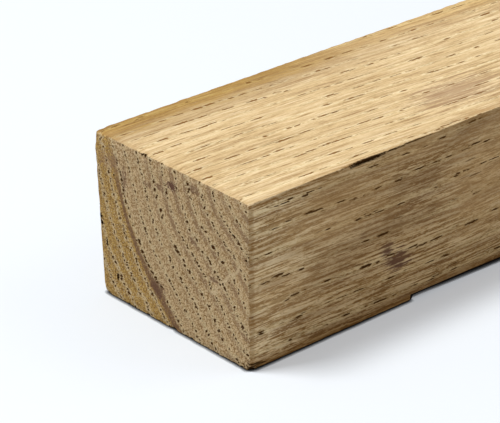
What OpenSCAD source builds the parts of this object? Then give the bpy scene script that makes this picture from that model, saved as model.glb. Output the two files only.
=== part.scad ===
// Rough sawn hardwood timber, one squared piece of stock.
// X runs along the grain, Z is up, and the origin is the middle of the underside.
// The start end is at -X and the near side is at -Y. Sizes are in millimetres.

/* [Sawn sizes] */
// Length along the grain
length = 300; // [200:5:1200]
// Width across the top face
top_w = 50; // [38:0.5:100]
// Height from the underside to the top face
section_h = 38; // [30:0.5:75]

/* [Out of square] */
// How far the foot of the near side lies inside its top arris
near_lean = 0.8; // [0:0.1:3]
// How far the foot of the far side lies inside its top arris
far_lean = 1.2; // [0:0.1:3]

/* [Worn arrises] */
// Radius along the near top arris
near_top_r = 0.4; // [0.2:0.1:2]
// Radius along the far top arris
far_top_r = 0.9; // [0.2:0.1:2]
// Radius along the far bottom arris
far_bottom_r = 0.7; // [0.2:0.1:2]
// Radius along the near bottom arris
near_bottom_r = 0.6; // [0.2:0.1:2]

/* [Torn foot of the near side] */
// Distance from the start end to the blunt step where a long splinter broke out
tear_start = 45; // [20:1:90]
// Length from the step to where the tear runs out
tear_run = 75; // [20:1:90]
// Height of the tear up the near side, at the step
tear_rise = 1.5; // [1:0.1:5]
// Width of the tear under the timber, at the step
tear_width = 4; // [1:0.1:8]
// How far the step slopes back along the grain over its height
tear_slope = 0.8; // [0:0.1:3]

/* [Splintered near top arris] */
// Distance from the start end to where the lost sliver begins
sliver_start = 18; // [8:1:60]
// Length of the lost sliver, which gets deeper up to its broken stub
sliver_run = 10; // [4:1:20]
// Height of the sliver scar on the near side, at the stub
sliver_rise = 1.1; // [0.4:0.1:2]
// Width of the sliver scar on the top face, at the stub
sliver_width = 0.9; // [0.4:0.1:2]
// Length of the open split that runs on under the stub
split_run = 20; // [6:1:40]
// Opening of the split at the stub
split_gap = 0.6; // [0.2:0.05:1]
// How far the split goes in from the near side, at the stub
split_depth = 2.2; // [0.6:0.1:5]

/* [Broken and worn corners of the start end] */
// Size of the chip at the near bottom corner
foot_chip = 1.4; // [0.4:0.1:3]
// Size of the wear at the far top corner
top_wear = 1.8; // [0.4:0.1:3]
// Size of the wear at the far bottom corner
foot_wear = 1.0; // [0.4:0.1:3]

/* [Hidden] */

start_x = -length / 2;
cut_reach = 2 * length;         // size of the solids that cut the wood, always larger than the timber
stub_cover = 0.5 * sliver_rise; // wood left above the split

// The four corners of the section as [y, z], before they are worn.
near_top = [-top_w / 2, section_h];
far_top = [top_w / 2, section_h];
far_foot = [top_w / 2 - far_lean, 0];
near_foot = [-top_w / 2 + near_lean, 0];

function unit(v) = v / norm(v);

// Where the near side stands at height z.
function near_y(z) = near_foot[0] + (near_top[0] - near_foot[0]) * z / section_h;

// Centre of the round of radius r that fits the corner p between its neighbours a and b.
function round_centre(p, a, b, r) =
    let (to_a = unit(a - p), to_b = unit(b - p))
    p + unit(to_a + to_b) * r / sin(acos(to_a * to_b) / 2);

// Where that round meets the straight side from p to a.
function round_end(p, a, b, r) =
    let (to_a = unit(a - p), to_b = unit(b - p))
    p + to_a * r / tan(acos(to_a * to_b) / 2);

// What a worn arris leaves out of a sharp corner.
module worn_arris(p, a, b, r) {
    difference() {
        polygon([p, round_end(p, a, b, r), round_centre(p, a, b, r), round_end(p, b, a, r)]);
        translate(round_centre(p, a, b, r)) circle(r, $fn = 48);
    }
}

module section() {
    difference() {
        polygon([near_top, far_top, far_foot, near_foot]);
        worn_arris(near_top, near_foot, far_top, near_top_r);
        worn_arris(far_top, near_top, far_foot, far_top_r);
        worn_arris(far_foot, far_top, near_foot, far_bottom_r);
        worn_arris(near_foot, far_foot, near_top, near_bottom_r);
    }
}

// Everything beyond the plane through a, b and c, on the side where the point lost is.
module beyond(a, b, c, lost) {
    across = cross(b - a, c - a);
    out = unit(across * sign(across * (lost - a)));
    translate(a) rotate([0, acos(out[2]), atan2(out[1], out[0])])
        translate([-cut_reach, -cut_reach, 0]) cube([2 * cut_reach, 2 * cut_reach, cut_reach]);
}

// The splinter gone from the near bottom arris: deepest at its step, then running out along the grain.
module foot_tear() {
    step_x = start_x + tear_start;
    top = [step_x + tear_slope, near_y(tear_rise), tear_rise];
    inner = [step_x, near_foot[0] + tear_width, 0];
    tip = [step_x + tear_run, near_foot[0], 0];
    outer = [step_x, near_foot[0], 0];
    intersection() {
        beyond(top, inner, tip, outer);
        beyond(top, inner, outer, tip);
    }
}

// The sliver gone from the near top arris: it starts from nothing and ends square against the stub.
module sliver_scar() {
    stub_x = start_x + sliver_start + sliver_run;
    low = [stub_x, near_y(section_h - sliver_rise), section_h - sliver_rise];
    inner = [stub_x, near_top[0] + sliver_width, section_h];
    tip = [start_x + sliver_start, near_top[0], section_h];
    outer = [stub_x, near_top[0], section_h];
    intersection() {
        beyond(low, inner, tip, outer);
        beyond(low, inner, outer, tip);
    }
}

// The split that lifts the stub: a wedge that narrows and gets shallower along the grain.
module stub_split() {
    stub_x = start_x + sliver_start + sliver_run;
    split_z = section_h - stub_cover;
    side_y = near_y(split_z);
    intersection() {
        translate([stub_x, side_y + cut_reach / 2, split_z]) rotate([90, 0, 0])
            linear_extrude(cut_reach) polygon([[-1, -split_gap], [-1, 0], [0, 0], [split_run, 0], [0, -split_gap]]);
        translate([stub_x, side_y, 0])
            linear_extrude(section_h) polygon([[-1, -split_depth], [split_run, -split_depth], [split_run, 0], [-1, split_depth]]);
    }
}

// A corner taken off by the plane through one point on each of its three edges.
module corner_loss(corner, set_off) {
    beyond(
        corner + [set_off[0], 0, 0],
        corner + [0, set_off[1], 0],
        corner + [0, 0, set_off[2]],
        corner
    );
}

module sawn_timber() color([0.66, 0.53, 0.35]) {
    difference() {
        translate([start_x, 0, 0]) rotate([90, 0, 90]) linear_extrude(length) section();
        foot_tear();
        sliver_scar();
        stub_split();
        corner_loss([start_x, near_foot[0], 0], foot_chip * [1.6, 1, 1.2]);
        corner_loss([start_x, far_top[0], far_top[1]], top_wear * [1, -1.4, -0.8]);
        corner_loss([start_x, far_top[0], far_top[1]], top_wear * [0.6, -0.7, -1.5]);
        corner_loss([start_x, far_foot[0], 0], foot_wear * [1.2, -1.5, 1]);
    }
}

sawn_timber();
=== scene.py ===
from functools import reduce
from math import atan2, cos, floor, pi, radians, sin
from random import Random

import bmesh
import bpy
from mathutils import Matrix, Vector


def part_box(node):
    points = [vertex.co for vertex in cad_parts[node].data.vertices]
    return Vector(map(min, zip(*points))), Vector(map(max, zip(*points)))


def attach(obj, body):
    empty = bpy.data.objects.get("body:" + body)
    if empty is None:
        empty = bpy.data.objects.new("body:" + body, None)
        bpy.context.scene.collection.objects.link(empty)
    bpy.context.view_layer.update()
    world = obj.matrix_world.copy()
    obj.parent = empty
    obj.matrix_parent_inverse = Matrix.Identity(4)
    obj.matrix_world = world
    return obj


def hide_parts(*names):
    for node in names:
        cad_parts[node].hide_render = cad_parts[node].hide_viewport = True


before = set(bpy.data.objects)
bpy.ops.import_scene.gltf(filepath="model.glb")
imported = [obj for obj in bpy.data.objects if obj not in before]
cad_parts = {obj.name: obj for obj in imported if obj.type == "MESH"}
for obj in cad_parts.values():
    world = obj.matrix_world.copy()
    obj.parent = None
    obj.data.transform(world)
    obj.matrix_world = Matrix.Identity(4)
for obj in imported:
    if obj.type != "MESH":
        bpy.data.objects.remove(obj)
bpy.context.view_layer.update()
low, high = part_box("sawn_timber")
mm = 0.001


# The camera
# It looks down on the start end, with the near side on its right. The timber's
# near top corner is put on the same point of the picture as in the photo.
photo_width_px = 500
photo_height_px = 423
focal_length_px = 2394.3
sensor_width = 36.0
corner_px = Vector((248.3, 205.0))
corner_depth = 465.5 * mm
azimuth = radians(-40.04)
elevation = radians(25.97)
roll = radians(-1.37)

corner = Vector((low.x, low.y, high.z))
backward = Vector((sin(azimuth) * cos(elevation), -cos(azimuth) * cos(elevation), sin(elevation)))
level_right = Vector((0, 0, 1)).cross(backward).normalized()
level_up = backward.cross(level_right)
right = level_right * cos(roll) + level_up * sin(roll)
up = level_up * cos(roll) - level_right * sin(roll)
off_centre = (corner_px - Vector((photo_width_px, photo_height_px)) / 2) * corner_depth / focal_length_px
stand = corner - right * off_centre.x + up * off_centre.y + backward * corner_depth

bpy.ops.object.select_all(action="DESELECT")
bpy.ops.object.camera_add()
camera = bpy.context.object
camera.matrix_world = Matrix.Translation(stand) @ Matrix((right, up, backward)).transposed().to_4x4()
camera.data.sensor_width = sensor_width
camera.data.lens = focal_length_px * sensor_width / photo_width_px
camera.data.clip_start = 10 * mm
bpy.context.scene.camera = camera


# The floor and the light
# White paper in a light tent: the main lamp hangs high on the left, a weak one stands
# on the right, and a pale surround fills the shadows.
seen_white = (0.53, 0.56, 0.588)
# The near black of the painted contact shade on the paper
contact_shade_black = (0.01, 0.01, 0.01)
bounced_grey = (0.42, 0.42, 0.42)
glow_white = (0.95, 0.96, 1.0)
paper_glow = 0.27
paper_roughness = 0.9
shade_reach = 0.9 * mm
shade_falls = 3.0

bpy.ops.object.select_all(action="DESELECT")
bpy.ops.mesh.primitive_plane_add(size=6, location=(0, 0, low.z))
sheet = bpy.context.object
sheet.name = "paper_floor"
paper = bpy.data.materials.new("white paper")
paper.use_nodes = True
tree = paper.node_tree


def put(kind, inputs, **options):
    """Adds a node to the material in hand, sets its options, and links or fills its inputs."""
    node = tree.nodes.new(kind)
    for name, value in options.items():
        setattr(node, name, value)
    for name, value in inputs.items():
        if isinstance(value, bpy.types.NodeSocket):
            tree.links.new(value, node.inputs[name])
        else:
            node.inputs[name].default_value = value
    return node.outputs


def calc(operation, *values, clamp=False):
    return put("ShaderNodeMath", dict(enumerate(values)), operation=operation, use_clamp=clamp)[0]


def times(*values):
    return reduce(lambda product, value: calc("MULTIPLY", product, value), values)


def most(*values):
    return reduce(lambda largest, value: calc("MAXIMUM", largest, value), values)


def opaque(tone):
    return (*tone, 1) if isinstance(tone, tuple) else tone


def tint(amount, tone, below, blend="MIX"):
    """Lays a tone over what is below it. Each is a colour or comes from a node."""
    layers = {"Factor": amount, "A": opaque(below), "B": opaque(tone)}
    return put("ShaderNodeMix", layers, data_type="RGBA", blend_type=blend)["Result"]


# The paper is grey to the light that it sends back. It is white and glows to what looks
# at it, and painted contact shade darkens its colour and glow in the last millimetre under the timber's
# edges.
ray = put("ShaderNodeLightPath", {})
seen = most(ray["Is Camera Ray"], ray["Is Glossy Ray"], ray["Is Transmission Ray"])
open_air = put("ShaderNodeAmbientOcclusion", {"Distance": shade_reach}, samples=8)["AO"]
fading = calc("POWER", open_air, shade_falls)
paper_colour = tint(seen, tint(fading, seen_white, contact_shade_black), bounced_grey)
paper_shader = tree.nodes["Principled BSDF"]
paper_shader.inputs["Roughness"].default_value = paper_roughness
paper_shader.inputs["Emission Color"].default_value = opaque(glow_white)
tree.links.new(paper_colour, paper_shader.inputs["Base Color"])
tree.links.new(times(seen, fading, paper_glow), paper_shader.inputs["Emission Strength"])
sheet.data.materials.append(paper)


def hang_lamp(name, place, size, power):
    """A square lamp that looks at the middle of the timber's foot."""
    bpy.ops.object.select_all(action="DESELECT")
    bpy.ops.object.light_add(type="AREA", location=place)
    lamp = bpy.context.object
    lamp.name = name
    lamp.rotation_euler = place.to_track_quat("Z", "Y").to_euler()
    lamp.data.shape = "SQUARE"
    lamp.data.size = size
    lamp.data.energy = power


hang_lamp("tent_lamp", Vector((-0.55, 0.29, 1.17)), size=0.35, power=15.0)
hang_lamp("front_lamp", Vector((0.455, -0.455, 0.766)), size=0.6, power=1.6)

tent_white = (0.95, 0.98, 1.0)
tent_light = 0.422
world = bpy.data.worlds.new("tent")
bpy.context.scene.world = world
world.use_nodes = True
tent = world.node_tree.nodes["Background"]
tent.inputs["Color"].default_value = opaque(tent_white)
tent.inputs["Strength"].default_value = tent_light
bpy.context.scene.view_settings.view_transform = "Standard"


# The timber
# One length of sawn hardwood. The saw left it a little out of square, its
# arrises are worn, and the surface shows every fibre and open pore.
near_lean = 0.8 * mm
far_lean = 1.2 * mm
middle = (low + high) / 2
length = high.x - low.x
width = high.y - low.y
height = high.z - low.z


def near_side_y(z):
    """Where the near side stands at a height. Its foot leans in."""
    return low.y + near_lean * (high.z - z) / height


def far_side_y(z):
    """Where the far side stands at a height. Its foot leans in too."""
    return high.y - far_lean * (high.z - z) / height


bpy.ops.object.select_all(action="DESELECT")
bpy.ops.mesh.primitive_cube_add(size=1, location=middle, scale=high - low)
timber = bpy.context.object
timber.name = "sawn_hardwood"
bpy.ops.object.transform_apply(location=True, rotation=False, scale=True)
bpy.ops.object.mode_set(mode="EDIT")
bpy.ops.mesh.select_mode(type="EDGE")


def choose_edges(wanted):
    """Selects the edges of the timber whose two ends are both wanted."""
    mesh = bmesh.from_edit_mesh(timber.data)
    for edge in mesh.edges:
        edge.select_set(all(wanted(vertex.co) for vertex in edge.verts))
    bmesh.update_edit_mesh(timber.data)


def lean_foot(side_y, inward):
    """Moves the foot of one side in."""
    touch = 0.1 * mm
    choose_edges(lambda p: abs(p.y - side_y) < touch and p.z < middle.z)
    bpy.ops.transform.translate(value=(0, inward, 0))


lean_foot(low.y, near_lean)
lean_foot(high.y, -far_lean)

# The timber is cut into cells to be shaped: fine ones along the arrises and at the start
# end, and coarse ones where nothing shows.
arris_band = 3.2 * mm
end_band = 4 * mm
shown_run = 112 * mm
stations = {
    "x": [low.x, low.x + end_band, low.x + shown_run, high.x - end_band, high.x],
    "y": [low.y, low.y + arris_band, high.y - arris_band, high.y],
    "z": [low.z, low.z + arris_band, high.z - arris_band, high.z],
}
cells = {"x": [12, 120, 60, 10], "y": [9, 34, 9], "z": [9, 26, 9]}
directions = {"x": Vector((1, 0, 0)), "y": Vector((0, 1, 0)), "z": Vector((0, 0, 1))}
for axis, places in stations.items():
    for place in places[1:-1]:
        bpy.ops.mesh.select_all(action="SELECT")
        bpy.ops.mesh.bisect(plane_co=directions[axis] * place, plane_no=directions[axis])


def choose_runs(axis, start, end):
    """Selects the edges that run along the axis from start to end, give or take the lean."""
    mesh = bmesh.from_edit_mesh(timber.data)
    slack = 1.3 * mm
    for edge in mesh.edges:
        ends = sorted(vertex.co.dot(directions[axis]) for vertex in edge.verts)
        runs = ends[1] - ends[0] > (end - start) / 2
        edge.select_set(runs and abs(ends[0] - start) < slack and abs(ends[1] - end) < slack)
    bmesh.update_edit_mesh(timber.data)


for axis in "zyx":
    places = stations[axis]
    for start, end, count in zip(places, places[1:], cells[axis]):
        choose_runs(axis, start, end)
        bpy.ops.mesh.subdivide(number_cuts=count - 1)

# Handling has worn the arrises: the far top one most, and the near top one least. Each
# wear is a number of smoothing passes.
arris_wear = {"near top": 2, "far top": 9, "near foot": 4, "far foot": 6}
end_wear = 2
worn_reach = 1.2 * mm
far_top_corner = Vector((low.x, high.y, high.z))
far_top_reach = 3 * mm
far_top_wear = 12
far_foot_corner = Vector((low.x, high.y - far_lean, low.z))
far_foot_reach = 2 * mm
far_foot_wear = 6


def near_arris(point, name):
    side_y = low.y + near_lean / 2 if "near" in name else high.y - far_lean / 2
    level = high.z if "top" in name else low.z
    return abs(point.y - side_y) < worn_reach and abs(point.z - level) < worn_reach


def wear_down(wanted, passes):
    """Smooths the timber's points that are wanted."""
    mesh = bmesh.from_edit_mesh(timber.data)
    for vertex in mesh.verts:
        vertex.select_set(wanted(vertex.co))
    mesh.select_flush_mode()
    bmesh.update_edit_mesh(timber.data)
    bpy.ops.mesh.vertices_smooth(factor=0.5, repeat=passes)


bpy.ops.mesh.select_mode(type="VERT")
for name, passes in arris_wear.items():
    wear_down(lambda p: near_arris(p, name), passes)
wear_down(lambda p: min(p.x - low.x, high.x - p.x) < worn_reach, end_wear)
wear_down(lambda p: (p - far_top_corner).length < far_top_reach, far_top_wear)
wear_down(lambda p: (p - far_foot_corner).length < far_foot_reach, far_foot_wear)
bpy.ops.object.mode_set(mode="OBJECT")

# The saw and the weather left relief: long fibres standing proud all over, and
# ragged arrises where they tore. It only goes inward, so the sizes stay.
ragged_reach = 1.6 * mm


def arris_weight(point):
    """1 on an edge of the timber, and 0 from ragged_reach away."""
    from_faces = sorted([
        min(point.x - low.x, high.x - point.x),
        min(point.y - near_side_y(point.z), high.y - point.y),
        min(point.z - low.z, high.z - point.z),
    ])
    return max(0.0, 1.0 - max(from_faces[1], 0.0) / ragged_reach)


ragged = timber.vertex_groups.new(name="ragged arrises")
for vertex in timber.data.vertices:
    weight = arris_weight(vertex.co)
    if weight > 0:
        ragged.add([vertex.index], weight, "REPLACE")


def roughen(target, name, run, spread, depth, group=""):
    """Sinks the surface by noise that is drawn out along the fibres. It never stands proud."""
    bpy.ops.object.select_all(action="DESELECT")
    bpy.ops.object.empty_add(location=(0, 0, 0))
    gauge = bpy.context.object
    gauge.scale = (run, spread, spread)
    bpy.context.view_layer.update()
    clouds = bpy.data.textures.new(name, type="CLOUDS")
    clouds.noise_scale = 1.0
    clouds.noise_depth = 2
    bpy.context.view_layer.objects.active = target
    target.select_set(True)
    rough = target.modifiers.new(name, "DISPLACE")
    rough.texture = clouds
    rough.texture_coords = "OBJECT"
    rough.texture_coords_object = gauge
    rough.strength = depth
    rough.mid_level = 1.0
    rough.vertex_group = group
    bpy.ops.object.modifier_apply(modifier=name)
    bpy.data.objects.remove(gauge)


roughen(timber, "fibres", run=14 * mm, spread=1.6 * mm, depth=0.14 * mm)
roughen(timber, "torn edges", run=1.5 * mm, spread=0.9 * mm, depth=0.42 * mm, group="ragged arrises")

# The growth rings, which everything else in the wood follows. They curve round the
# heart of the tree, which was beyond the near top arris, and the trunk swayed as it
# grew. Places here are in mm: from the start end, from the middle and from the foot.
grain_turn = radians(2.2)
heart_across = -60.3
heart_up = 59.6
heart_age = 23.9
ring_width = 3.94
flute_depth = 0.9
flutes = 14.4
flute_start = 5.92
sway = 0.7
sway_along = 21.0
sway_over = 10.0


def ring_age(start_run, side, level):
    """Counts rings outward, so that a whole number is a row of open pores."""
    along = start_run * cos(grain_turn) - side * sin(grain_turn)
    across = start_run * sin(grain_turn) + side * cos(grain_turn)
    across += sway * sin(along / sway_along + level / sway_over)
    upward = level + sway * sin(along / sway_along + across / sway_over + 1)
    from_heart = Vector((across - heart_across, upward - heart_up))
    flute = flute_depth * sin(flutes * atan2(from_heart.y, from_heart.x) + flute_start)
    return (from_heart.length + flute) / ring_width - heart_age


# Wood that tore off the arrises: the long splinter under the near side, and the sliver
# and the open split of the near top arris. Each is a rough block that is taken out.
past_tip = 0.05
overhang = 0.6


def pyramid(name, base, tip, cuts):
    """A three-sided pyramid with these corners, cut up fine enough to be roughened."""
    bpy.ops.object.select_all(action="DESELECT")
    bpy.ops.mesh.primitive_cone_add(vertices=3, radius1=1, radius2=0, depth=1)
    piece = bpy.context.object
    piece.name = name
    lowest_first = sorted(piece.data.vertices, key=lambda v: v.co.z)
    for vertex, place in zip(lowest_first, [*base, tip]):
        vertex.co = place
    bpy.ops.object.mode_set(mode="EDIT")
    bpy.ops.mesh.select_all(action="SELECT")
    bpy.ops.mesh.normals_make_consistent(inside=False)
    bpy.ops.mesh.subdivide(number_cuts=cuts)
    bpy.ops.object.mode_set(mode="OBJECT")
    return piece


def splinter(name, side_place, face_place, arris_place, tip, cuts):
    """What tore off an arris. Its torn face goes through the first two places and the tip."""
    base = [
        side_place + (side_place - face_place) * overhang,
        face_place + (face_place - side_place) * overhang,
        arris_place + (arris_place - (side_place + face_place) / 2) * 2,
    ]
    return pyramid(name, base, tip + (tip - arris_place) * past_tip, cuts)


tear_start = 45 * mm
tear_run = 75 * mm
tear_rise = 1.5 * mm
tear_width = 4 * mm
tear_slope = 0.8 * mm
step_x = low.x + tear_start
foot_y = near_side_y(low.z)
foot_tear = splinter(
    "foot tear",
    side_place=Vector((step_x + tear_slope, near_side_y(low.z + tear_rise), low.z + tear_rise)),
    face_place=Vector((step_x, foot_y + tear_width, low.z)),
    arris_place=Vector((step_x, foot_y, low.z)),
    tip=Vector((step_x + tear_run, foot_y, low.z)),
    cuts=40,
)
roughen(foot_tear, "torn fibres", run=6 * mm, spread=0.5 * mm, depth=0.3 * mm)

sliver_start = 18 * mm
sliver_run = 10 * mm
sliver_rise = 1.1 * mm
sliver_width = 0.9 * mm
stub_x = low.x + sliver_start + sliver_run
sliver_scar = splinter(
    "sliver scar",
    side_place=Vector((stub_x, near_side_y(high.z - sliver_rise), high.z - sliver_rise)),
    face_place=Vector((stub_x, low.y + sliver_width, high.z)),
    arris_place=Vector((stub_x, low.y, high.z)),
    tip=Vector((stub_x - sliver_run, low.y, high.z)),
    cuts=14,
)
roughen(sliver_scar, "scar fibres", run=3 * mm, spread=0.3 * mm, depth=0.2 * mm)

split_run = 20 * mm
split_gap = 0.6 * mm
split_depth = 2.2 * mm
split_overhang = 1.5 * mm
split_z = high.z - 0.5 * sliver_rise - split_gap / 2
split_y = near_side_y(split_z)
mouth = split_gap / 2 * (1 + split_overhang / split_depth)
stub_split = pyramid(
    "stub split",
    base=[
        Vector((stub_x - mm, split_y - split_overhang, split_z + mouth)),
        Vector((stub_x - mm, split_y - split_overhang, split_z - mouth)),
        Vector((stub_x - mm, split_y + split_depth, split_z)),
    ],
    tip=Vector((stub_x + split_run, split_y - split_overhang, split_z)),
    cuts=12,
)
roughen(stub_split, "split fibres", run=4 * mm, spread=0.4 * mm, depth=0.15 * mm)

# Tubes of pores: one is modelled as a spindle, and each open tube is a copy of it,
# stretched and laid along the grain where a row of pores comes out of the wood.
dice = Random(11)
bpy.ops.object.select_all(action="DESELECT")
bpy.ops.mesh.primitive_uv_sphere_add(segments=6, ring_count=6, radius=0.5)
spindle = bpy.context.object
spindle.name = "open tubes"
bpy.ops.transform.rotate(value=pi / 2, orient_axis="Y", center_override=(0, 0, 0))
bpy.ops.object.transform_apply(location=True, rotation=True, scale=True)
tubes = []


def open_tube(place, run, thickness, lean=Vector((0, 0))):
    """Copies the spindle to a place, along the grain with this much lean across and up."""
    tube = spindle.copy()
    tube.data = spindle.data.copy()
    ahead = Vector((1, lean.x, lean.y)).normalized()
    beside = Vector((0, 0, 1)).cross(ahead).normalized()
    turn = Matrix((ahead, beside, ahead.cross(beside))).transposed().to_4x4()
    tube.data.transform(Matrix.Translation(place) @ turn @ Matrix.Diagonal((run, thickness, thickness, 1)))
    bpy.context.scene.collection.objects.link(tube)
    tubes.append(tube)


# The boldest tubes: on the start end as across and up, and on the near side as along, up
# and length, all in mm.
bold_end = [
    (24.3, 20.5), (23.6, 18.2), (23.3, 16.8), (21.8, 12.7), (18.5, 29.5), (15.5, 26.3),
    (11.6, 16.8), (14.0, 13.7), (3.7, 8.9), (7.0, 6.0), (18.5, 5.5), (-6.7, 33.2),
    (-14.0, 36.5), (-15.5, 16.8), (-9.0, 18.5), (-18.3, 18.2), (-23.7, 25.2), (-20.0, 29.5),
]
bold_side = [
    (36.0, 31.1, 4.5), (39.8, 31.4, 3.5), (36.7, 16.6, 2.6), (40.7, 17.2, 2.2), (60.0, 24.4, 3.2),
    (28.2, 29.8, 3.0), (18.5, 25.7, 2.8), (11.0, 31.2, 2.4), (23.0, 26.2, 2.0), (63.0, 32.5, 3.5),
]
bold_end_depth = 3 * mm
bold_side_thickness = 0.42 * mm
bold_side_lean = Vector((0, 0.03))
for side, level in bold_end:
    thickness = dice.uniform(0.55, 0.72) * mm
    open_tube(Vector((low.x, side * mm, low.z + level * mm)), bold_end_depth, thickness)
for start_run, level, run in bold_side:
    z = low.z + level * mm
    place = Vector((low.x + start_run * mm, near_side_y(z), z))
    open_tube(place, run * mm, bold_side_thickness, bold_side_lean)


# Chips off the edges of the start end. Each is a small ball with a rough skin, and the
# lists give its place along the edge and its size in mm.
def chip(name, place, reach):
    bpy.ops.object.select_all(action="DESELECT")
    bpy.ops.mesh.primitive_ico_sphere_add(subdivisions=3, radius=1)
    piece = bpy.context.object
    piece.name = name
    piece.data.transform(Matrix.Translation(place) @ Matrix.Diagonal((*reach, 1)))
    roughen(piece, name, run=0.5 * mm, spread=0.5 * mm, depth=0.35 * mm)
    return piece


foot_chips = {15.5: 0.8, 8.9: 0.9, 0.5: 1.2, -5.5: 0.9, -21.5: 0.9, -14.0: 0.6, 12.0: 0.6}
top_chips = {7.5: 1.0, 19.5: 0.6, 13.5: 0.6, -14.0: 0.7, 1.5: 0.5, -19.5: 0.5}
arris_chips = {24.5: 0.9, 19.5: 0.7, 12.5: 0.9, 8.0: 0.6, 31.0: 0.5}
corner_chip = Vector((2.0, 1.3, 1.5)) * mm
chips = []
for side, size in foot_chips.items():
    reach = Vector((0.9, 1.1 * size, size)) * mm
    chips.append(chip("foot chip", Vector((low.x, side * mm, low.z)), reach))
for side, size in top_chips.items():
    reach = Vector((0.8, 1.2 * size, 0.6 * size)) * mm
    chips.append(chip("top chip", Vector((low.x, side * mm, high.z)), reach))
for level, size in arris_chips.items():
    z = low.z + level * mm
    reach = Vector((1.6, 0.7, 0.6)) * size * mm
    chips.append(chip("arris chip", Vector((low.x, near_side_y(z), z)), reach))
chips.append(chip("corner chip", Vector((low.x, foot_y, low.z)), corner_chip))

# The many small tubes, strewn along the rows of pores. All sizes are in mm.
look_ahead = 2
end_margin = 1
foot_margin = 1
arris_margin = 1.5
side_tubes = 150
side_scatter = 0.35
face_tubes = 110
face_scatter = 0.7
end_tries = 1500
end_row_width = 0.055
end_tube_gap = 0.8


def rows_across(age_at, span):
    """Where, in steps along a span, a row of pores crosses it."""
    finest = 0.2
    ages = [floor(age_at(i * finest)) for i in range(int(span / finest))]
    return [i * finest for i in range(1, len(ages)) if ages[i] != ages[i - 1]]


def side_row_tube(side_y):
    """Lays a tube by a row of pores on the near or the far side."""
    start_run = dice.uniform(end_margin, length / mm - end_margin)
    rows, rows_ahead = [
        rows_across(lambda z: ring_age(run, side_y(low.z + z * mm) / mm, z), height / mm)
        for run in (start_run, start_run + look_ahead)
    ]
    if len(rows) == len(rows_ahead):
        pick = dice.randrange(len(rows))
        z = low.z + (rows[pick] + dice.gauss(0, side_scatter)) * mm
        slope = (rows_ahead[pick] - rows[pick]) / look_ahead
        thickness = dice.uniform(0.16, 0.3) * mm
        if low.z + foot_margin * mm < z < high.z - arris_margin * mm:
            place = Vector((low.x + start_run * mm, side_y(z), z))
            open_tube(place, dice.uniform(0.8, 4) * mm, thickness, Vector((0, slope)))


def face_row_tube(face_z):
    """Lays a tube by a row of pores on the top or the underside."""
    start_run = dice.uniform(end_margin, length / mm - end_margin)
    level = (face_z - low.z) / mm
    rows, rows_ahead = [
        rows_across(lambda y: ring_age(run, y + low.y / mm, level), width / mm)
        for run in (start_run, start_run + look_ahead)
    ]
    if len(rows) == len(rows_ahead):
        pick = dice.randrange(len(rows))
        y = low.y + (rows[pick] + dice.gauss(0, face_scatter)) * mm
        slope = (rows_ahead[pick] - rows[pick]) / look_ahead
        if low.y + arris_margin * mm < y < high.y - arris_margin * mm:
            tube_run = dice.uniform(1.5, 5) * mm
            thickness = dice.uniform(0.14, 0.24) * mm
            place = Vector((low.x + start_run * mm, y, face_z))
            open_tube(place, tube_run, thickness, Vector((slope, 0)))


def end_tube(end_x, laid):
    """Tries one place on an end, and lays a tube there if it is on a row and clear of the rest."""
    side = dice.uniform(low.y / mm + arris_margin, high.y / mm - arris_margin)
    level = dice.uniform(0.8, height / mm - 0.8)
    age = ring_age((end_x - low.x) / mm, side, level)
    place = Vector((end_x, side * mm, low.z + level * mm))
    on_row = abs(age - round(age)) < end_row_width
    if on_row and all((other - place).length > end_tube_gap * mm for other in laid):
        laid.append(place)
        open_tube(place, dice.uniform(1.6, 3) * mm, dice.uniform(0.22, 0.45) * mm)


for i in range(side_tubes):
    side_row_tube(near_side_y)
    side_row_tube(far_side_y)
for i in range(face_tubes):
    face_row_tube(high.z)
    face_row_tube(low.z)
for end_x in (low.x, high.x):
    laid = []
    for i in range(end_tries):
        end_tube(end_x, laid)

# All that is lost is joined and taken out of the timber in one cut.
bpy.ops.object.select_all(action="DESELECT")
for piece in [foot_tear, sliver_scar, stub_split, *chips, *tubes]:
    piece.select_set(True)
bpy.context.view_layer.objects.active = foot_tear
bpy.data.objects.remove(spindle)
bpy.ops.object.join()
lost_wood = foot_tear

bpy.ops.object.select_all(action="DESELECT")
bpy.context.view_layer.objects.active = timber
timber.select_set(True)
loss = timber.modifiers.new("lost wood", "BOOLEAN")
loss.operation = "DIFFERENCE"
loss.object = lost_wood
loss.solver = "MANIFOLD"
bpy.ops.object.modifier_apply(modifier="lost wood")
bpy.data.objects.remove(lost_wood)
bpy.ops.object.shade_smooth_by_angle(angle=radians(40))

# The wood: rows of open pores lie along each growth ring, with pale soft tissue round
# them and darker late wood outside them. All sizes are in mm.
wood = bpy.data.materials.new("sawn hardwood")
wood.use_nodes = True
tree = wood.node_tree


def add(*values):
    return reduce(lambda total, value: calc("ADD", total, value), values)


def less(value, taken):
    return calc("SUBTRACT", value, taken)


def over(value, divisor):
    return calc("DIVIDE", value, divisor)


def least(*values):
    return reduce(lambda smallest, value: calc("MINIMUM", smallest, value), values)


def swing(value, *sizes):
    """Turns noise, which is about a half, into a swing of this size to both sides of 0."""
    return times(add(value, -0.5), *sizes)


def rise(value, start, end):
    """Goes smoothly from 0 to 1 while the value goes from start to end."""
    limits = {"Value": value, "From Min": start, "From Max": end}
    return put("ShaderNodeMapRange", limits, interpolation_type="SMOOTHSTEP")[0]


def vector(x, y, z):
    return put("ShaderNodeCombineXYZ", {"X": x, "Y": y, "Z": z})[0]


def parts_of(place):
    return put("ShaderNodeSeparateXYZ", {"Vector": place})


def draws_of(colour):
    """The three parts of a random colour, each used as a draw from 0 to 1."""
    return put("ShaderNodeSeparateColor", {"Color": colour})


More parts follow.
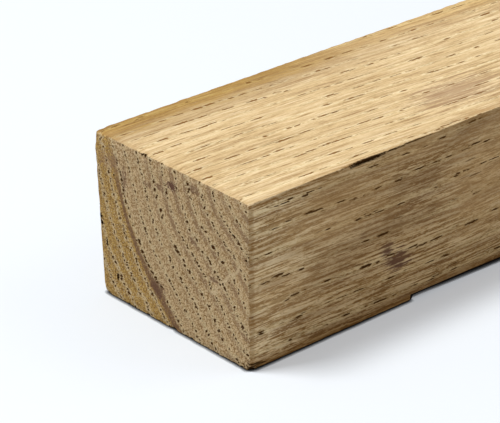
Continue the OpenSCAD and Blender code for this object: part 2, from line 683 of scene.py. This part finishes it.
def noise(place, detail=2.0, rough=0.5):
    """Noise with a mean of about a half, as a value and as three more values."""
    fineness = {"Scale": 1.0, "Detail": detail, "Roughness": rough}
    sockets = put("ShaderNodeTexNoise", {"Vector": place, **fineness})
    return sockets["Fac"], *draws_of(sockets["Color"])


def grain(run, spread, detail=2.0, rough=0.5):
    """Noise drawn out along the fibres: run is its length and spread its width."""
    return noise(vector(over(along, run), over(across, spread), over(upward, spread)), detail, rough)


# Places are measured from the start end, from the middle and from the foot. The grain
# is turned a little, and follows the trunk's sway as the open tubes do.
coordinates = put("ShaderNodeTexCoord", {})
start_end = -low.x / mm
in_mm = (1 / mm, 1 / mm, 1 / mm)
plain = put("ShaderNodeMapping", {
    "Vector": coordinates["Object"],
    "Location": (start_end, 0, 0),
    "Scale": in_mm,
})[0]
turned = put("ShaderNodeMapping", {
    "Vector": coordinates["Object"],
    "Location": (start_end * cos(grain_turn), start_end * sin(grain_turn), 0),
    "Rotation": (0, 0, grain_turn),
    "Scale": in_mm,
})[0]
from_start, aside, level = parts_of(plain)
along, turned_aside, _ = parts_of(turned)


def wave(offset, beside):
    turns = add(over(along, sway_along), over(beside, sway_over), offset)
    return times(calc("SINE", turns), sway)


across = add(turned_aside, wave(0, level))
upward = add(level, wave(1, across))
heart_y = less(across, heart_across)
heart_z = less(upward, heart_up)
radius = calc("SQRT", add(times(heart_y, heart_y), times(heart_z, heart_z)))
angle = calc("ARCTAN2", heart_z, heart_y)
flute = times(calc("SINE", add(times(angle, flutes), flute_start)), flute_depth)
age = less(over(add(radius, flute), ring_width), heart_age)
ring = calc("ROUND", age)
past_row = times(less(age, ring), ring_width)
round_ring = times(angle, add(ring, heart_age), ring_width)

# Which face of the timber it is
facing_x, facing_y, _ = parts_of(coordinates["Normal"])
on_side = rise(calc("ABSOLUTE", facing_y), 0.4, 0.8)
on_end = rise(calc("ABSOLUTE", facing_x), 0.4, 0.8)
on_face = less(1.0, most(on_side, on_end))


def by_face(everywhere, side=0.0, end=0.0):
    """A value that is larger or smaller on the sides and on the ends."""
    return add(everywhere, times(on_side, side), times(on_end, end))


# Noise that several parts share: coarse enough to bend rows, and fine enough to fray pores
_, bend_out, bend_round, bend_small = grain(25, 3.0, detail=1)
fray = grain(0.9, 0.26, detail=1)[0]

# Large pores in a row along each ring. Each is a long, thin tube.
pore_pitch = 0.98
pore_cell_run = 3.2
row_place = vector(
    add(over(add(round_ring, times(bend_round, 1.5)), pore_pitch), times(ring, 37.3)),
    add(over(along, pore_cell_run), times(ring, 5.7)),
    0,
)
row_round, row_along, _ = parts_of(row_place)
cell = {"Vector": row_place, "Scale": 1.0, "Randomness": 1.0}
pore = put("ShaderNodeTexVoronoi", cell, voronoi_dimensions="2D")
pore_round, pore_along, _ = parts_of(pore["Position"])
pore_shift, pore_growth, pore_stretch = draws_of(pore["Color"])
off_round = times(less(row_round, pore_round), pore_pitch)
off_along = times(less(row_along, pore_along), pore_cell_run)
off_row = add(past_row, swing(bend_out, 1.1), times(add(pore_shift, -0.35), -0.6))
pore_spread = times(calc("POWER", pore_growth, 2.0), by_face(0.15, end=0.06))
pore_size = add(pore_spread, 0.125, times(on_end, 0.105))
pore_long = add(times(pore_stretch, 1.9), 0.5)
share_along = times(over(off_along, pore_long), pore_size)
squares = [times(off, off) for off in (off_round, off_row, share_along)]
pore_reach = add(over(calc("SQRT", add(*squares)), pore_size), swing(fray, 1.6))
big_pores = rise(pore_reach, 1.2, 0.75)
pore_rim = times(rise(pore_reach, 3.6, 1.9), less(1.0, big_pores), rise(fray, 0.38, 0.56))
pore_halo = times(rise(pore_reach, 2.1, 1.2), by_face(0.5, end=-0.25))

# Small pores between the rows
small_pitch = 1.5
small_run = 22.0
small_place = vector(
    over(along, small_run),
    over(add(across, times(bend_small, 1.5)), small_pitch),
    over(add(upward, times(bend_out, 1.5)), small_pitch),
)
small = put("ShaderNodeTexVoronoi", {"Vector": small_place, "Scale": 1.0, "Randomness": 1.0})
small_growth, _, _ = draws_of(small["Color"])
small_reach = over(small["Distance"], add(times(small_growth, 0.075), 0.03))
small_pores = rise(add(small_reach, swing(fray, 0.9)), 1.2, 0.7)

# Tones of sound wood: fine fibres, wider streaks, wide patches, and rays from the heart
dark_fibre = (0.34, 0.195, 0.075)
plain_wood = (0.76, 0.535, 0.27)
pale_fibre = (1.0, 0.79, 0.49)
fibre = grain(11, 0.3, detail=4, rough=0.75)[0]
streak = grain(32, 0.75, detail=2, rough=0.6)[0]
mottle = grain(7, 0.5, detail=2, rough=0.6)[0]
patch = grain(30, 9, detail=2)[0]
rays = noise(vector(over(along, 3.0), over(radius, 2.4), over(times(angle, 70), 0.3)), detail=1)[0]
mixed = add(times(fibre, 0.5), times(streak, 0.36), times(mottle, 0.36))
mean_mixed = 0.61
contrast = by_face(1.45, side=4.0, end=3.6)
grit = swing(fray, by_face(0.12, side=0.16, end=0.4))
tone = add(0.5, times(add(mixed, -mean_mixed), contrast), swing(rays, on_end, 0.45), grit, swing(patch, 0.16))
ramp = tree.nodes.new("ShaderNodeValToRGB")
tree.links.new(tone, ramp.inputs["Fac"])
stops = ramp.color_ramp.elements
stops[0].position = 0.25
stops[0].color = opaque(dark_fibre)
stops[1].position = 0.75
stops[1].color = opaque(pale_fibre)
stops.new(0.5).color = opaque(plain_wood)
colour = ramp.outputs["Color"]

# Late wood, outside each row of pores, is darker, and most of all near the heart
late_brown = (0.36, 0.22, 0.125)
late = times(rise(past_row, 0.1, 0.8), rise(past_row, 2.5, 1.4))
near_heart = rise(age, -4.5, -7.0)
late_share = by_face(0.12, side=0.2, end=add(0.12, times(near_heart, 0.75)))
late_break = add(0.15, times(rise(rays, 0.4, 0.6), 0.6), times(rise(bend_small, 0.4, 0.6), 0.6))
colour = tint(times(late, late_share, late_break), late_brown, colour)

# The youngest rings are yellower, and the soft tissue round the rows and pores is pale
young_yellow = (0.80, 0.67, 0.28)
row_tan = (0.90, 0.70, 0.38)
rim_cream = (1.0, 0.86, 0.54)
speck_cream = (1.0, 0.84, 0.55)
speck_brown = (0.27, 0.145, 0.045)
colour = tint(times(rise(age, -3.2, -2.4), on_end), young_yellow, colour, "MULTIPLY")
colour = tint(times(rise(calc("ABSOLUTE", past_row), 0.8, 0.2), 0.25), row_tan, colour)
colour = tint(times(pore_rim, by_face(0.45, end=0.55)), rim_cream, colour)
colour = tint(times(rise(fray, 0.56, 0.70), by_face(0.10, side=0.35, end=0.8)), speck_cream, colour)
colour = tint(times(rise(fray, 0.43, 0.28), by_face(0.10, side=0.3, end=0.5)), speck_brown, colour)

# One pale ray crosses the rings near the near side
ray_angle = 0.762
ray_cream = (1.0, 0.82, 0.52)
off_ray = times(calc("ABSOLUTE", add(angle, ray_angle, swing(bend_small, 0.03))), radius)
ray_line = times(rise(off_ray, 0.5, 0.15), rise(radius, 52, 55), rise(radius, 68, 65), on_end, 0.75)
colour = tint(ray_line, ray_cream, colour)

# Each face has its own tint: the top is darker along its far arris most of all, the
# ends are darker evenly, and the sides are darker towards the foot and away from the start end
top_grey = (0.865, 0.885, 0.915)
far_yellow = (0.90, 0.79, 0.48)
far_grey = (0.68, 0.65, 0.63)
end_straw = (1.0, 0.76, 0.38)
end_grey = (0.63, 0.595, 0.582)
side_grey = (0.967, 0.956, 0.945)
side_foot_brown = (0.60, 0.48, 0.34)
side_away_brown = (0.765, 0.71, 0.64)
frayed_aside = add(aside, swing(mottle, 9), swing(patch, 6))
far_strip = times(on_face, rise(frayed_aside, 16, 22), add(0.5, times(rise(from_start, 75, 45), 0.5)))
far_half = times(on_face, rise(frayed_aside, 10, 22), rise(from_start, 90, 45))
side_foot = times(on_side, rise(level, 4.3, 0.3))
side_away = times(on_side, rise(add(from_start, swing(patch, 40)), 8, 26))
colour = tint(on_face, top_grey, colour, "MULTIPLY")
colour = tint(far_strip, far_yellow, colour, "MULTIPLY")
colour = tint(far_half, far_grey, colour, "MULTIPLY")
colour = tint(times(on_end, 0.15), end_straw, colour)
colour = tint(on_end, end_grey, colour, "MULTIPLY")
colour = tint(on_side, side_grey, colour, "MULTIPLY")
colour = tint(side_foot, side_foot_brown, colour, "MULTIPLY")
colour = tint(side_away, side_away_brown, colour, "MULTIPLY")

# One bad year left a dark band
band_age = 2.55
band_brown = (0.175, 0.095, 0.06)
band_reach = calc("ABSOLUTE", add(age, band_age, swing(bend_small, 0.3), swing(mottle, 0.25)))
band_width = add(0.21, times(rise(level, 17, 6), 0.13))
band_breaks = add(0.35, times(rise(mottle, 0.35, 0.6), 0.65))
band = times(rise(over(band_reach, band_width), 1.1, 0.45), rise(level, 33, 27), band_breaks)
colour = tint(times(band, by_face(0.2, end=0.75)), band_brown, colour)

# Stains, and further down patches of painted shade. Each has its middle, its reach and its strength, and
# their edges fray.
ragged_edge = add(swing(mottle, 2.6), swing(streak, 2.2), swing(fray, 0.9))
stain_umber = (0.14, 0.072, 0.048)
stain_brown = (0.34, 0.21, 0.125)
stain_tan = (0.25, 0.145, 0.07)
bleached = (0.74, 0.48, 0.23)


def stains_and_shade(places, tone, softness, below):
    """Lays patches of one tone, real stains and painted shade, over what is below them."""
    amounts = []
    for middle_place, reach, strength in places:
        away = put("ShaderNodeVectorMath", {0: plain, 1: middle_place}, operation="SUBTRACT")[0]
        shares = put("ShaderNodeVectorMath", {0: away, 1: reach}, operation="DIVIDE")[0]
        distance = put("ShaderNodeVectorMath", {0: shares}, operation="LENGTH")["Value"]
        ragged_distance = add(distance, ragged_edge)
        amounts.append(times(rise(ragged_distance, 1.0 + softness, 1.0 - softness), strength))
    return tint(most(*amounts), tone, below)


colour = stains_and_shade([
    ((40.9, -25, 11.6), (3.4, 3, 2.5), 1.0),
    ((37.9, -25, 14.7), (1.9, 3, 1.9), 0.9),
    ((31.0, -25, 20.5), (1.0, 2, 1.0), 0.6),
    ((0, -1.0, 33.7), (2, 1.5, 0.9), 1.0),
    ((0, 3.2, 32.0), (2, 1.1, 0.8), 0.6),
    ((0, 7.3, 31.4), (2, 1.4, 0.6), 0.5),
    ((0, -7.6, 35.5), (2, 1.4, 0.9), 0.65),
    ((0, 15.0, 29.5), (2, 0.9, 2.6), 0.6),
    ((0, 18.0, 32.8), (2, 1.1, 1.6), 0.45),
    ((0, -7.2, 23.6), (2, 1.2, 0.8), 0.5),
    ((0, -13.2, 17.2), (2, 1.2, 0.7), 0.6),
    ((0, 5.0, 8.0), (2, 2.2, 1.7), 0.75),
    ((37, 13, 38), (0.5, 0.5, 0.5), 0.9),
], stain_umber, 0.45, colour)
colour = stains_and_shade([
    ((69, -13, 38), (10, 5, 3), 0.6),
    ((78, 19, 38), (30, 7, 3), 0.2),
    ((0, 20.0, 32.3), (2, 3.2, 1.7), 0.45),
], stain_brown, 0.6, colour)
colour = stains_and_shade([
    ((36, -25, 20.3), (19, 4, 2.6), 0.5),
    ((22, -25, 15.5), (8, 4, 3), 0.3),
    ((41.9, -25, 28.5), (3.5, 4, 3.0), 0.5),
    ((48, -25, 27.5), (6, 4, 3.5), 0.45),
    ((37.7, -25, 22), (2, 4, 2), 0.5),
    ((62, -25, 35), (11, 4, 3), 0.3),
], stain_tan, 0.6, colour)
colour = stains_and_shade([
    ((24, -25, 29), (12, 4, 6), 0.35),
    ((66, -25, 24), (9, 4, 11), 0.4),
    ((8, -25, 17), (8, 4, 6), 0.25),
    ((48, -25, 35.5), (9, 4, 2), 0.3),
], bleached, 0.6, colour)

# The pores, which are paler on the top, where dust fills them
halo_brown = (0.30, 0.145, 0.036)
small_pore_brown = (0.13, 0.058, 0.014)
dusty_pore_brown = (0.22, 0.09, 0.018)
pore_black = (0.05, 0.015, 0.001)
colour = tint(pore_halo, halo_brown, colour)
colour = tint(times(small_pores, add(0.75, times(on_face, -0.3))), small_pore_brown, colour)
colour = tint(times(big_pores, on_face, 0.85), dusty_pore_brown, colour)
colour = tint(times(big_pores, less(1.0, on_face), 0.95), pore_black, colour)

# Dirt and painted shade in whatever lies below the sawn faces: brown in shallow hollows,
# and near black deeper down, in the tubes, chips and tears
hollow_dirt_and_shade_brown = (0.29, 0.145, 0.043)
dirt_and_shade_black = (0.05, 0.016, 0.002)
up_share = less(1.0, over(level, height / mm))
near_plane = add(aside, -low.y / mm, times(up_share, -near_lean / mm))
far_plane = less(high.y / mm, add(aside, times(up_share, far_lean / mm)))
from_end = least(from_start, less(length / mm, from_start))
from_side = least(near_plane, far_plane)
from_face = least(level, less(high.z / mm, level))
nearest = least(from_end, from_side, from_face)
from_arris = most(least(from_end, from_side), least(most(from_end, from_side), from_face))
by_top_or_foot = rise(from_face, 0.6, 0.2)
in_tube = times(rise(nearest, 0.15, 0.28), rise(from_arris, 0.7, 1.4))
dirt_and_shade_depth = most(in_tube, rise(nearest, 0.42, 0.75))
dirt_and_shade_share = add(0.8, times(by_top_or_foot, -0.5), times(mottle, 0.35))
hollow_dirt_and_shade_share = add(0.45, times(by_top_or_foot, -0.25))
colour = tint(times(rise(nearest, 0.04, 0.14), less(1.0, on_end), hollow_dirt_and_shade_share), hollow_dirt_and_shade_brown, colour)
colour = tint(times(dirt_and_shade_depth, dirt_and_shade_share), dirt_and_shade_black, colour)

# Painted shade: black along the split arris, in the chips at the near foot corner and on
# the end's top edge, and in the boldest holes of the end
painted_shade_black = (0.03, 0.012, 0.002)
colour = stains_and_shade([
    ((33.0, -25.1, 37.4), (6.0, 0.7, 0.6), 1.0),
    ((42.0, -25.1, 37.7), (7.0, 0.5, 0.35), 0.8),
    ((24.5, -25.1, 37.8), (2.5, 0.4, 0.35), 0.7),
    ((0, -25, 0), (3.2, 2.2, 2.0), 0.9),
    ((0, 8.0, 37.9), (0.5, 1.3, 0.5), 1.0),
    ((0, 24.6, 20.5), (1, 0.8, 0.6), 1.0),
    ((0, 23.9, 18.2), (1, 0.6, 0.7), 1.0),
    ((0, 23.5, 16.8), (1, 0.5, 0.5), 1.0),
    ((0, 18.7, 5.8), (1, 0.4, 0.9), 1.0),
    ((0, 22.0, 12.7), (1, 0.4, 1.0), 0.9),
], painted_shade_black, 0.3, colour)

# Painted contact shadow: a black line along the foot, which rises over the tear
painted_foot_shadow = (0.008, 0.005, 0.004)
torn = calc("GREATER_THAN", from_start, tear_start / mm)
torn_share = calc("SUBTRACT", 1.0, over(add(from_start, -tear_start / mm), tear_run / mm), clamp=True)
torn_level = times(torn, torn_share, tear_rise / mm)
plain_foot_shadow = times(rise(level, 0.5, 0.3), rise(from_arris, 1.6, 0.9), rise(from_end, 0.3, 1.0))
above_tear = rise(less(level, torn_level), 0.35, 0.1)
torn_foot_shadow = times(above_tear, rise(torn_level, 0.0, 0.1), rise(near_plane, 5, 4))
colour = tint(most(plain_foot_shadow, torn_foot_shadow), painted_foot_shadow, colour)

# Sawn, untreated wood is dull, and its fibres and pores show as fine relief
wood_roughness = 0.75
wood_shine = 0.02
fibre_relief = add(times(fibre, 0.16), times(streak, 0.12), times(mottle, 0.08))
relief = add(fibre_relief, times(big_pores, -0.3), times(small_pores, -0.12))
bump = put("ShaderNodeBump", {"Height": relief, "Distance": mm, "Strength": 1.0})[0]
shader = tree.nodes["Principled BSDF"]
shader.inputs["Roughness"].default_value = wood_roughness
shader.inputs["Specular IOR Level"].default_value = wood_shine
tree.links.new(colour, shader.inputs["Base Color"])
tree.links.new(bump, shader.inputs["Normal"])
timber.data.materials.clear()
timber.data.materials.append(wood)

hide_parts("sawn_timber")
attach(timber, "root")
